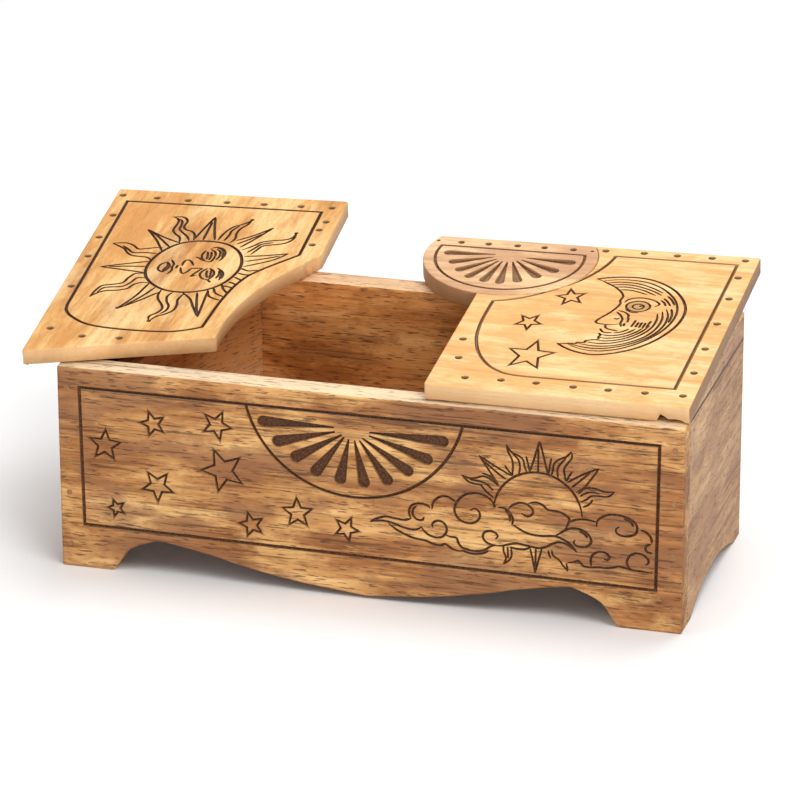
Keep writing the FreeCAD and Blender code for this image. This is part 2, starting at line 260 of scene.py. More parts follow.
innerLook = {
    **boxLook, "shift": (5.2, 2.2, 7.4), "patchColour": paint(152, 90, 36), "topLightShare": 0.4, "knotShare": 0.7,
    "glowColour": paint(222, 160, 96),
    "stops": shades((160, 96, 40), (202, 131, 66), (226, 158, 90), (244, 186, 118)), "lineShare": 0.5,
}
# the divider's pale colours are partly the board's own light tan and partly painted light, brightening a face
# that lies in shade under the lid
dividerLitLook = {
    **innerLook, "grain": 1, "shift": (6.2, 9.2, 4.4), "knotShare": 0.0, "topLightShare": 0.0,
    "patchColour": paint(236, 188, 138), "patchShare": 0.4,
    "stops": shades((228, 184, 136), (242, 208, 164), (250, 224, 186), (254, 238, 210)), "lineShare": 0.3,
    "turn": 19.03,
    "slantDark": {
        "way": (0.0, -0.548, 1.0), "stray": 16.0, "low": 87.0, "high": 91.5, "share": 0.7,
        "colour": paint(222, 148, 74),
    },
}
sunLook = {
    "burntDark": paint(38, 20, 7), "burntLight": paint(92, 54, 22), "sootTop": 0.6, "grain": 1,
    "shift": (0.4, 6.1, 2.0), "figure": (5.0, 48.0), "patch": (8.0, 34.0),
    "stops": shades((178, 116, 52), (210, 152, 82), (232, 182, 114), (248, 208, 146)),
    "patchColour": paint(200, 132, 58), "patchShare": 0.7, "glowColour": paint(252, 218, 158),
    "glowShare": 0.5, "lineColour": paint(150, 92, 40), "lineShare": 0.22, "poreShare": 0.28,
    "edgeShare": 0.7, "edgeColour": paint(230, 184, 134), "rough": 0.46, "bump": 0.3,
}
moonLook = {
    **sunLook, "grain": 0, "shift": (2.7, 1.1, 5.0), "patch": (46.0, 110.0),
    "patchColour": paint(230, 162, 90), "patchShare": 0.62, "edgeColour": paint(228, 190, 144),
    "endShare": 0.9, "endColour": paint(152, 108, 68), "burntDark": paint(56, 32, 12),
    "burntLight": paint(112, 72, 34),
    "stops": shades((206, 148, 82), (228, 176, 108), (240, 194, 130), (248, 212, 156)),
}
fanLook = {
    **sunLook, "grain": 0, "shift": (8.7, 3.1, 1.0), "patch": (14.0, 40.0),
    "patchColour": paint(192, 140, 100),
    "stops": shades((186, 136, 92), (208, 160, 114), (224, 182, 136), (240, 206, 164)), "edgeShare": 0.8,
    "edgeColour": paint(158, 114, 76), "burntDark": paint(78, 46, 24), "burntLight": paint(142, 98, 64),
    "sootTop": 0.9,
}
wood = {
    "front": woodMaterial("carvedFrontWood", boxLook),
    "side": woodMaterial("sideBoardWood", sideLook),
    "inner": woodMaterial("innerWood", innerLook),
    "divider": woodMaterial("dividerWoodPaintedLight", dividerLitLook),
    "sun": woodMaterial("sunLidWood", sunLook),
    "moon": woodMaterial("moonLidWood", moonLook),
    "fan": woodMaterial("fanWood", fanLook),
}
nailLook = {
    "rust": (4.0, 0.6, 900.0), "stops": [(0.35, paint(126, 86, 50)), (0.65, paint(172, 124, 80))],
    "rough": 0.35, "rustRough": 0.4, "metal": 0.2,
}


def nailMaterial():
    made = bpy.data.materials.new("dullNail")
    made.use_nodes = True
    tree = made.node_tree
    shader = tree.nodes["Principled BSDF"]
    start = Wire(tree)
    place = start.node("ShaderNodeTexCoord", output="Object")
    rust = noise(start, place, *nailLook["rust"])
    colour = start.node("ShaderNodeValToRGB", {"stops": nailLook["stops"]}, {0: rust})
    tree.links.new(colour.socket, shader.inputs["Base Color"])
    tree.links.new((nailLook["rough"] + rust * nailLook["rustRough"]).socket, shader.inputs["Roughness"])
    shader.inputs["Metallic"].default_value = nailLook["metal"]
    return made


nail = nailMaterial()
print("materials made")


# lines of the carving and of the outlines
cutShape = {
    "starCorners": 10, "starWaist": 0.42, "mitreLimit": 0.15, "flatBend": 150, "merge": 1e-4,
    "wallShare": 0.55, "wallMost": 0.7, "thinEnd": 0.45, "thinRun": 4, "rimBurn": 0.38, "fullBurn": 0.6,
}


def smooth(points, closed=False, step=0.9):
    # an even curve through a few points
    spots = [np.array(p, float) for p in points]
    count = len(spots)
    if count < 3:
        return np.array(spots)
    runs = count if closed else count - 1
    line = []
    for i in range(runs):
        places = [(i + k) % count if closed else min(max(i + k, 0), count - 1) for k in (-1, 0, 1, 2)]
        a, b, c, d = (spots[place] for place in places)
        square, cube = 2 * a - 5 * b + 4 * c - d, 3 * b - a - 3 * c + d
        pieces = max(2, math.ceil(np.linalg.norm(c - b) / step))
        for k in range(pieces):
            t = k / pieces
            line.append(0.5 * (2 * b + (c - a) * t + square * t ** 2 + cube * t ** 3))
    if not closed:
        line.append(spots[-1])
    return np.array(line)


def roundAt(centre, turns, across, tall=None):
    # points around a centre, on a circle or an oval
    return np.stack([centre[0] + across * np.cos(turns), centre[1] + (tall or across) * np.sin(turns)], 1)


def groove(points, width, depth=0.9, curved=True, closed=False, thinEnds=True, burn=1.0):
    line = smooth(points, closed) if curved else np.array(points, float)
    half = np.full(len(line), width / 2)
    if thinEnds and not closed and len(line) > 4:
        share = np.linspace(0, 1, len(line))
        half *= np.clip(cutShape["thinEnd"] + np.minimum(share, 1 - share) * cutShape["thinRun"], 0, 1)
    return {"line": line, "half": half, "depth": depth, "closed": closed, "burn": burn}


def petal(inner, outer, innerHalf, outerHalf, depth=1.3, burn=1.0):
    line, half = np.array([inner, outer], float), np.array([innerHalf, outerHalf])
    return {"line": line, "half": half, "depth": depth, "closed": False, "burn": burn}


def dot(x, y, radius, depth=1.4, burn=0.62):
    spot = np.array([[x, y]], float)
    return {"line": spot, "half": np.array([radius]), "depth": depth, "closed": False, "burn": burn}


def star(x, y, size, turn, width=1.1, stretch=1.0):
    points = []
    for k in range(cutShape["starCorners"]):
        reach = size if k % 2 == 0 else size * cutShape["starWaist"]
        angle = math.radians(turn + 360 / cutShape["starCorners"] * k)
        points.append((x + reach * math.cos(angle), y + reach * stretch * math.sin(angle)))
    return groove(points, width, curved=False, closed=True)


def wallOf(half):
    # how far in the sloping wall of a cut reaches
    return np.minimum(half * cutShape["wallShare"], cutShape["wallMost"])


def sideways(line, closed):
    # unit normals with mitred corners
    ahead = np.roll(line, -1, 0) - line
    if not closed:
        ahead[-1] = ahead[-2]
    ahead /= np.maximum(np.linalg.norm(ahead, axis=1, keepdims=True), 1e-9)
    behind = np.roll(ahead, 1, 0)
    if not closed:
        behind[0] = ahead[0]
    n1 = np.stack([-behind[:, 1], behind[:, 0]], 1)
    n2 = np.stack([-ahead[:, 1], ahead[:, 0]], 1)
    turn = 1 + (n1 * n2).sum(1, keepdims=True)
    mitre = (n1 + n2) / np.maximum(turn, cutShape["mitreLimit"])
    return mitre, ahead


def outlinesOf(cut):
    # closed loops at the rim of a cut and at the foot of its walls
    loops = []
    line = cut["line"]
    for inward in (0.0, 1.0):
        half = cut["half"] - inward * wallOf(cut["half"])
        if len(line) == 1:
            ring = [(math.cos(a), math.sin(a)) for a in np.linspace(0, 2 * math.pi, 16, endpoint=False)]
            loops.append(line[0] + np.array(ring) * half[0])
            continue
        normal, ahead = sideways(line, cut["closed"])
        left, right = line + normal * half[:, None], line - normal * half[:, None]
        if cut["closed"]:
            loops += [left, right]
            continue
        bends = np.linspace(90, -90, 9 if half.max() > 0.9 else 3)[1:-1]
        caps = []
        for spot, way, reach in ((line[-1], ahead[-1], half[-1]), (line[0], -ahead[0], half[0])):
            turned = [Matrix.Rotation(math.radians(b), 2) @ Vector(way) for b in bends]
            caps.append(np.array([spot + np.array(t) * reach for t in turned]))
        loops.append(np.concatenate([left, caps[0], right[::-1], caps[1]]))
    return loops


def depthAt(spots, cuts):
    # how deep the carving is under each spot, and how burnt the cut there is
    depth, burnt = np.zeros(len(spots)), np.zeros(len(spots))
    for cut in cuts:
        line, half = cut["line"], cut["half"]
        reach = half.max() + 0.1
        low, high = line.min(0) - reach, line.max(0) + reach
        near = np.nonzero(((spots >= low) & (spots <= high)).all(1))[0]
        if not len(near):
            continue
        p = spots[near]
        if len(line) == 1:
            a, b, ha, hb = line, line, half, half
        elif cut["closed"]:
            a, b, ha, hb = line, np.roll(line, -1, 0), half, np.roll(half, -1)
        else:
            a, b, ha, hb = line[:-1], line[1:], half[:-1], half[1:]
        best = np.zeros(len(near))
        for s in range(len(a)):
            run = b[s] - a[s]
            t = np.clip(((p - a[s]) @ run) / max(run @ run, 1e-12), 0, 1)
            gap = np.linalg.norm(p - a[s] - t[:, None] * run, axis=1)
            wide = ha[s] + (hb[s] - ha[s]) * t
            best = np.maximum(best, np.clip((wide - gap) / wallOf(wide), 0, 1))
        depth[near] = np.maximum(depth[near], cut["depth"] * best)
        burnt[near] = np.maximum(burnt[near], cut["burn"] * (best > 0))
    return depth, burnt


def insideLoop(spots, loop):
    x, y = spots.T
    inside = np.zeros(len(spots), bool)
    for (ax, ay), (bx, by) in zip(loop, np.roll(loop, -1, 0)):
        if ay != by:
            inside ^= ((ay > y) != (by > y)) & (x < (bx - ax) * (y - ay) / (by - ay) + ax)
    return inside


def rounded(points, radius, pieces=4):
    # an outline with its corners eased in plan
    spots = [np.array(p, float) for p in points]
    made = []
    for i, spot in enumerate(spots):
        before, after = spots[i - 1] - spot, spots[(i + 1) % len(spots)] - spot
        lengthA, lengthB = np.linalg.norm(before), np.linalg.norm(after)
        bend = math.acos(np.clip(before @ after / (lengthA * lengthB), -1, 1))
        if bend > math.radians(cutShape["flatBend"]) or min(lengthA, lengthB) < 2 * radius:
            made.append(spot)
            continue
        a, b = spot + before / lengthA * radius, spot + after / lengthB * radius
        for t in np.linspace(0, 1, pieces):
            made.append((1 - t) ** 2 * a + 2 * t * (1 - t) * spot + t ** 2 * b)
    return np.array(made)


boardShape = {"easeTurns": (30, 60, 90), "rebateFoot": 0.8}


def carvedBoard(name, outline, cuts, size, place, holes=()):
    # a board whose face carries burnt cuts and plain holes, with eased edges all round
    ease = size["ease"]
    normal, _ = sideways(outline, True)
    inset = outline + normal * ease  # outlines run counter-clockwise, so their normals point inward
    spots, edges = [], []
    for loop in [inset] + [ring for cut in [*cuts, *holes] for ring in outlinesOf(cut)]:
        first = len(spots)
        spots += [Vector((float(x), float(y))) for x, y in loop]
        edges += [(first + i, first + (i + 1) % len(loop)) for i in range(len(loop))]
    flat, _, triangles, source, _, _ = delaunay_2d_cdt(spots, edges, [], 1, cutShape["merge"], True)
    flat = np.array([tuple(v) for v in flat])
    depth, _ = depthAt(flat, [*cuts, *holes])
    rimOf = {}
    for made, given in enumerate(source):
        for g in given:
            if g < len(inset):
                rimOf[g] = made
    depth[list(rimOf.values())] = 0
    mesh = bmesh.new()
    burn = mesh.loops.layers.float.new("burn")
    top = [mesh.verts.new(place(x, y, -d)) for (x, y), d in zip(flat, depth)]
    deepest = max((cut["depth"] for cut in cuts), default=1.0)
    middles = flat[np.array(triangles)].mean(1)
    within, (_, burnHere) = insideLoop(middles, inset), depthAt(middles, cuts)
    for tri, kept, cut in zip(triangles, within, burnHere):
        if not kept:
            continue
        face = mesh.faces.new([top[i] for i in tri])
        if cut:
            for loop, i in zip(face.loops, tri):
                sunk = min(1.0, depth[i] / (cutShape["fullBurn"] * deepest))
                loop[burn] = cut * (cutShape["rimBurn"] + (1 - cutShape["rimBurn"]) * sunk)
    steps = [math.radians(a) for a in boardShape["easeTurns"]]
    rows = [[top[rimOf[i]] for i in range(len(inset))]]
    levels = [(math.sin(a), ease * (1 - math.cos(a))) for a in steps]
    if "rebate" in size:
        deep, tall = size["rebate"]
        foot = 1 - deep / ease
        thick, lip = size["thick"], tall * boardShape["rebateFoot"]
        levels += [(1.0, thick - tall), (foot, thick - lip), (foot, thick)]
    else:
        levels += [(math.cos(a), size["thick"] - ease * (1 - math.sin(a))) for a in [0.0] + steps]
    for share, down in levels:
        ring = inset + (outline - inset) * share
        rows.append([mesh.verts.new(place(x, y, -down)) for x, y in ring])
    count = len(inset)
    for upper, lower in zip(rows, rows[1:]):
        for i in range(count):
            j = (i + 1) % count
            face = mesh.faces.new([upper[i], lower[i], lower[j], upper[j]])
            face.smooth = True
    mesh.faces.new(list(reversed(rows[-1])))
    board = objectFrom(name, mesh)
    print(name, len(board.data.vertices), "points", len(board.data.polygons), "faces")
    return board


def onFront(x, z, out):
    # the front panel's top follows the slope of the rim through its thickness
    lift = -out * math.tan(rim["slope"]) * min(max((z - rim["slopeFrom"]) / rim["slopeRun"], 0), 1)
    return corner + Vector((x, -out, z + lift)) * mm


def onLid(x, y, out):
    c, s = math.cos(rim["slope"]), math.sin(rim["slope"])
    up = rim["lidTop"] + out
    return corner + Vector((x, y * c - up * s, rim["height"] + y * s + up * c)) * mm


def arcThrough(a, b, c, pieces):
    # points on the circle through three points, from a over b to c
    a, b, c = (np.array(p, float) for p in (a, b, c))
    m = np.array([b - a, c - a]) * 2
    centre = np.linalg.solve(m, [b @ b - a @ a, c @ c - a @ a])
    radius = np.linalg.norm(a - centre)
    angles = [math.atan2(*(p - centre)[::-1]) for p in (a, b, c)]
    sweep = (angles[2] - angles[0]) % (2 * math.pi)
    if (angles[1] - angles[0]) % (2 * math.pi) > sweep:
        sweep -= 2 * math.pi
    turns = angles[0] + sweep * np.linspace(0, 1, pieces)
    return roundAt(centre, turns, radius)


# front panel
front = {"length": 260.0, "height": 87.0, "thick": 10.0, "ease": 0.8, "cornerRound": 0.8}
apron = {
    "leftFoot": 22.0, "rightFoot": 26.0, "run": 22.5, "rise": 14.6, "drop": 1.2, "step": 2.5,
    "runShares": (0.12, 0.32, 0.74, 1.0), "riseShares": (0.24, 0.67, 0.96, 1.0),
    "scrollShares": (0.23, 0.38, 0.67), "fallShares": (0.25, 0.48, 0.80),
}


def apronHalf(footEdge, middle):
    way = 1 if middle > footEdge else -1
    points = [(footEdge, 0)]
    for run, rise in zip(apron["runShares"], apron["riseShares"]):
        points.append((footEdge + way * apron["run"] * run, apron["rise"] * rise))
    crown = footEdge + way * apron["run"]
    fallen = apron["drop"] - apron["rise"]
    for run, fall in zip(apron["scrollShares"], apron["fallShares"]):
        points.append((crown + (middle - crown) * run, apron["rise"] + fallen * fall))
    points.append((middle, apron["drop"]))
    return smooth(points, step=apron["step"])


def frontOutline():
    length, height = front["length"], front["height"]
    left = apronHalf(apron["leftFoot"], length / 2)
    right = apronHalf(length - apron["rightFoot"], length / 2)
    corners = rounded([(0, height), (0, 0), (length, 0), (length, height)], front["cornerRound"])
    # counter-clockwise from the top left corner down
    quarter = len(corners) // 4
    ends = [corners[i * quarter:(i + 1) * quarter] for i in range(4)]
    return np.concatenate([ends[0], ends[1], left, right[::-1][1:], ends[2], ends[3]])


frontStars = [
    (19.9, 54.9, 7.1, 87), (40.5, 66.3, 5.7, 108), (67.6, 68.5, 6.7, 66), (69.9, 49.2, 9.7, 41),
    (42.0, 39.4, 7.2, 54), (24.1, 27.8, 4.1, 39), (81.7, 27.0, 5.6, 35), (101.2, 34.3, 6.8, 21),
    (121.7, 29.6, 5.6, 67),
]
frontFan = {
    "centre": (125.0, 90.0), "radius": 46.3, "level": 78.8, "pieces": 60, "tip": 0.4, "round": 2.6,
    "petals": [
        ((116.5, 72.9), (87.3, 72.4)), ((117.0, 71.0), (93.3, 64.5)), ((119.8, 69.9), (100.8, 58.6)),
        ((120.9, 69.0), (109.2, 53.4)), ((122.9, 68.2), (119.3, 51.2)), ((125.4, 67.9), (129.2, 50.8)),
        ((127.6, 68.2), (138.8, 52.8)), ((128.8, 69.4), (147.3, 57.6)), ((131.6, 70.8), (155.3, 63.4)),
        ((131.8, 72.3), (161.8, 71.7)),
    ],
}
cloudSun = {
    "centre": (200.9, 44.6), "radius": 18.1, "line": 0.95, "cloudLine": 1.15, "span": (4, 176), "pieces": 40,
}
sunRays = [
    [(169.7, 58.3), (172.5, 57.4), (175.5, 57.7), (178.3, 58.7), (181.3, 57.9), (184.6, 55.4)],
    [(169.7, 58.3), (172.3, 55.9), (175, 55.1), (177.6, 54.8), (179.2, 52.9), (182.8, 50.0)],
    [(173.0, 56.7), (177.0, 56.4), (179.8, 55.6), (182.6, 53.0)], [(178, 60.0), (181.5, 58.9), (184.8, 55.6)],
    [(176.8, 67.4), (180.3, 62.3), (184.8, 55.8)], [(176.8, 67.4), (183, 63.8), (190, 60.2)],
    [(178.2, 65.8), (183, 61.8), (187.7, 58.4)], [(187.3, 64.3), (189.0, 62.0), (190.6, 60.4)],
    [(188, 73.2), (188.5, 70.5), (190.3, 67), (190.6, 64), (190.4, 60.4)],
    [(188, 73.2), (190, 70.3), (193, 69), (194.8, 67.4), (195.4, 64.5), (196.5, 62.2)],
    [(190.4, 69.6), (192.8, 67.4), (193.5, 64), (193.0, 61.3)], [(196.0, 69.2), (196.9, 65.5), (197.6, 62.5)],
    [(201.4, 76.1), (199.4, 69), (197.4, 62.5)], [(201.5, 76.1), (203.3, 69), (204.9, 62.3)],
    [(201, 72.5), (200.9, 63.4)], [(206.3, 69.5), (205.6, 65.8), (205.2, 62.4)],
    [(214.3, 73.1), (212.4, 70.8), (209, 69), (207.3, 67), (206.8, 63.9), (206.2, 62.0)],
    [(214.3, 73.1), (214.6, 70.5), (212.6, 67.6), (211.4, 65.2), (211.8, 62.5), (212, 60.4)],
    [(212.2, 69.9), (209.9, 67.4), (208.8, 65), (209, 61.5)], [(214.7, 64.5), (213.4, 62.4), (212.5, 60.3)],
    [(225.6, 67.1), (220.5, 64.7), (216, 62), (212.8, 59.8)], [(225.6, 67.1), (221.6, 61), (217.4, 55.4)],
    [(222, 65.0), (218.3, 61.4), (214.6, 57.9)],
    [(216.6, 56.0), (219, 57.6), (221.6, 58.5), (224.6, 58.4), (228, 57.4), (232, 57.9)],
    [(218.5, 52.3), (220.6, 53.4), (222.4, 55.0), (225, 55.4), (229.3, 55.6), (232, 57.9)],
    [(218.0, 54.5), (220.4, 56.1), (222.8, 56.7), (226, 56.4)], [(219.2, 50), (221.6, 51.4), (223.2, 53.6)],
    [(187.0, 30.3), (187.0, 27.5), (188.0, 24.6), (187.0, 21.9)],
    [(190.0, 29.3), (190.3, 26), (189.2, 23.8), (187.0, 21.9)], [(188.7, 29.2), (188.8, 25)],
    [(197.8, 30.3), (199, 25), (200, 19.7)], [(202.7, 30.3), (201.3, 25), (200, 19.7)],
    [(200.2, 29.8), (200.1, 22.5)], [(206.8, 30.3), (207.3, 28), (209.6, 26.5), (211.2, 24.4), (213.3, 21.9)],
    [(212.6, 25.3), (213.1, 23.8), (213.3, 21.9)], [(205.4, 29.9), (205.6, 28.3), (206.4, 26.7)],
]
cloudLines = [
    [(131.7, 34), (134.5, 35.7), (138, 36.9), (142, 36.6), (146, 36.3), (148.7, 37.2)],
    [(148.7, 37.2), (147.9, 39.5), (148.3, 42), (150, 43.6), (153, 44.1), (155.6, 43.6), (156.6, 42.6)],
    [(151, 43.0), (149.6, 41.5), (149.4, 39.3), (150.6, 37.5), (152.4, 36.9), (153.7, 37.4), (154.1, 38.6)],
    [(157.4, 42.4), (157.8, 45), (159.5, 47.2), (162, 48.4), (164.5, 48.1), (167.2, 46.6)],
    [(183.6, 46), (182, 48.6), (179.2, 50.5), (175.3, 51.1), (171, 50), (168, 47), (166.7, 43.5),
     (167.5, 40.5), (169.7, 38.5), (172.8, 37.9), (175.6, 38.9), (177.1, 41), (176.9, 43.2), (175.2, 44.5),
     (173.3, 43.6)],
    [(131.7, 34), (136, 34.9), (140, 34.7), (145, 33.2), (149, 32.5), (151.5, 33), (153, 34.2)],
    [(153, 34.2), (154.3, 32.3), (156.5, 30.8), (159.5, 30.2), (162, 31.1), (163.5, 33.5), (163, 36),
     (161, 37.5), (158.8, 37.2), (157.4, 35.7), (157.9, 34.4)],
    [(139.5, 34.0), (142, 32.2), (146, 30.2), (150, 28.9), (155, 28.3), (158, 27.2), (161, 27), (163, 27.8),
     (165.5, 26.2), (168, 25.4), (170, 25.6)],
    [(163, 31.8), (165, 31.2), (167.5, 31), (168.3, 29), (169.6, 27.3), (172, 26.4), (175.5, 26.1), (179, 27),
     (181.3, 28.7), (183.6, 29.6)],
    [(170.0, 26.0), (171.8, 25.2), (175, 24.9), (178.5, 25.6), (180.8, 26.9)],
    [(183.6, 29.8), (181.3, 29.9), (179.3, 31), (178.4, 33), (179.3, 34.9), (181.5, 35.6), (183.7, 34.9),
     (184.5, 33.4), (183.6, 32.4)],
    [(183.6, 29.6), (186, 29.7), (189, 30.6), (192, 31.4), (196, 31), (199, 30.6), (202, 30.5), (204.5, 31.4),
     (207, 33), (210, 33.9), (213, 33.3), (215.5, 31.7), (217, 30.5)],
    [(189.5, 29.6), (192, 29.1), (195.5, 29.2), (197.6, 30.2)],
    [(189, 45.9), (190.5, 47.7), (193.5, 49), (196.5, 48.6), (198.7, 46.8), (198.7, 44.8), (196.6, 43.5),
     (194.2, 44.6)],
    [(197.2, 49.2), (200, 49.9), (203, 49.0), (205, 47.3), (209, 47), (212, 46), (213.8, 44.3), (213.4, 42.5),
     (212, 39.3)],
    [(184.6, 46), (187, 46), (189, 44.8), (190.7, 42), (190.4, 39.3)],
    [(187.6, 45.3), (189.3, 43.2), (189.5, 40.6)],
    [(190.4, 39.3), (193, 38), (196, 36.5), (200, 35.8), (204, 35.9), (208, 36.3), (212, 35.0), (215, 33),
     (217, 30.5)],
    [(208, 36.4), (210.5, 38.2), (213, 39.9), (216, 40.6), (219.5, 40), (222, 38), (222.8, 35.5),
     (221.2, 33.5), (218.5, 32.8), (216.4, 33.4), (215.6, 34.6), (216.2, 35.6)],
    [(218, 39.6), (220, 38.6), (221.2, 37.0)],
    [(213.8, 43), (216, 44.2), (219, 44.8), (222, 44.7), (224.6, 44.2)],
    [(224.9, 42.4), (225.1, 44.5), (226.7, 46.5), (230, 48), (234, 48.1), (238, 47.3), (240.6, 45.5),
     (241.4, 43.2), (240.6, 41), (238, 39.7), (235, 39.6), (233, 40.7), (232.8, 42.3), (234, 43.2)],
    [(236, 47.0), (238.6, 45.9), (239.8, 44.0)], [(242.8, 42.8), (245.2, 42), (247, 40), (247.3, 37.8)],
    [(247, 37.2), (245.2, 36.6), (244.8, 35), (245.8, 33.6), (247.6, 33.6)],
    [(222.9, 25.2), (222.7, 28), (223.6, 30.3), (226, 31.7), (229, 31.3), (230.3, 29.8), (229.3, 28.4),
     (228.2, 28.9)],
    [(213.2, 25.4), (216, 26.2), (217.4, 26.9), (218.6, 26), (220, 24.7), (223, 24.6), (226, 25), (229, 25),
     (232, 25.6), (234, 26.3), (237, 25.8), (240, 25.3), (244, 25.2), (247.6, 24.9)],
    [(240, 25.4), (238, 26.5), (237.4, 29), (238.6, 31.5), (241, 32.7), (244, 32.3), (246, 30.7), (246, 29),
     (245, 28.2)],
]
frontLine = {
    "frame": [(9.4, 78.8), (249.8, 79.3), (249.2, 17.7), (10.2, 19.1)], "frameCut": (1.5, 1.1),
    "fanCut": (1.35, 1.1), "check": [(1.2, 80.6), (5.0, 80.3), (9.0, 79.9)], "checkCut": (0.45, 0.3),
    "rayDepth": 0.8, "cloudDepth": 0.85,
}
nails = {"ends": (4.0, 256.0), "low": 10, "rise": 68, "rows": 4, "radius": 1.2, "depth": 0.9}


def frontCuts():
    cuts = [groove(frontLine["frame"], *frontLine["frameCut"], curved=False, closed=True)]
    cuts.append(groove(frontLine["check"], *frontLine["checkCut"]))
    cuts += [star(*s) for s in frontStars]
    reach = math.acos((frontFan["centre"][1] - frontFan["level"]) / frontFan["radius"])
    turns = np.linspace(-math.pi / 2 - reach, -math.pi / 2 + reach, frontFan["pieces"])
    arc = roundAt(frontFan["centre"], turns, frontFan["radius"])
    cuts.append(groove(arc, *frontLine["fanCut"], curved=False, thinEnds=False))
    cuts += [petal(a, b, frontFan["tip"], frontFan["round"]) for a, b in frontFan["petals"]]
    turns = np.linspace(*(math.radians(end) for end in cloudSun["span"]), cloudSun["pieces"])
    disc = roundAt(cloudSun["centre"], turns, cloudSun["radius"])
    cuts.append(groove(disc, cloudSun["cloudLine"], curved=False))
    cuts += [groove(line, cloudSun["line"], frontLine["rayDepth"]) for line in sunRays]
    cuts += [groove(line, cloudSun["cloudLine"], frontLine["cloudDepth"]) for line in cloudLines]
    return cuts


nailRows = [nails["low"] + nails["rise"] * k / (nails["rows"] - 1) for k in range(nails["rows"])]
nailHoles = [dot(x, z, nails["radius"], nails["depth"]) for z in nailRows for x in nails["ends"]]
carvedFront = carvedBoard("carvedFront", frontOutline(), frontCuts(), front, onFront, nailHoles)
carvedFront.data.materials.append(wood["front"])
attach(carvedFront, "box")
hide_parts("front_panel")


# sun lid, lying turned on the left end of the rim
sunLid = {
    "x": -13.3, "y": -3.0, "turn": 4.5, "width": 101.0, "length": 158.0, "slant": (75.0, 22.2), "tip": 101.8,
    "hollow": 7.6, "thick": 7.4, "ease": 0.7, "rebate": (1.5, 0.8), "cornerRound": 1.2,
}


def turned(points, x, y, degrees):
    a = math.radians(degrees)
    c, s = math.cos(a), math.sin(a)
    return np.array([(x + px * c - py * s, y + px * s + py * c) for px, py in points])


def onSunLid(points):
    return turned(points, sunLid["x"], sunLid["y"], sunLid["turn"])


brokenTip = [(95.6, 95.2), (95.9, 97.4), (97.5, 98.3), (97.9, 100.9), (99.7, 101.9), (101.0, 104.4)]


def sunLidOutline():
    start, end = np.array(sunLid["slant"]), np.array([sunLid["width"], sunLid["tip"]])
    chord = end - start
    inward = np.array([-chord[1], chord[0]]) / np.linalg.norm(chord)
    hollow = arcThrough(start, (start + end) / 2 + inward * sunLid["hollow"], end, 30)
    width, length = sunLid["width"], sunLid["length"]
    square = rounded([(0, length), (0, 0), tuple(start), tuple(end), (width, length)], sunLid["cornerRound"])
    # the two ends of the hollow stay crisp, so only the three outer corners are rounded
    corners = [square[0:4], square[4:8], hollow[:-3], brokenTip, square[-4:]]
    return onSunLid(np.concatenate(corners))


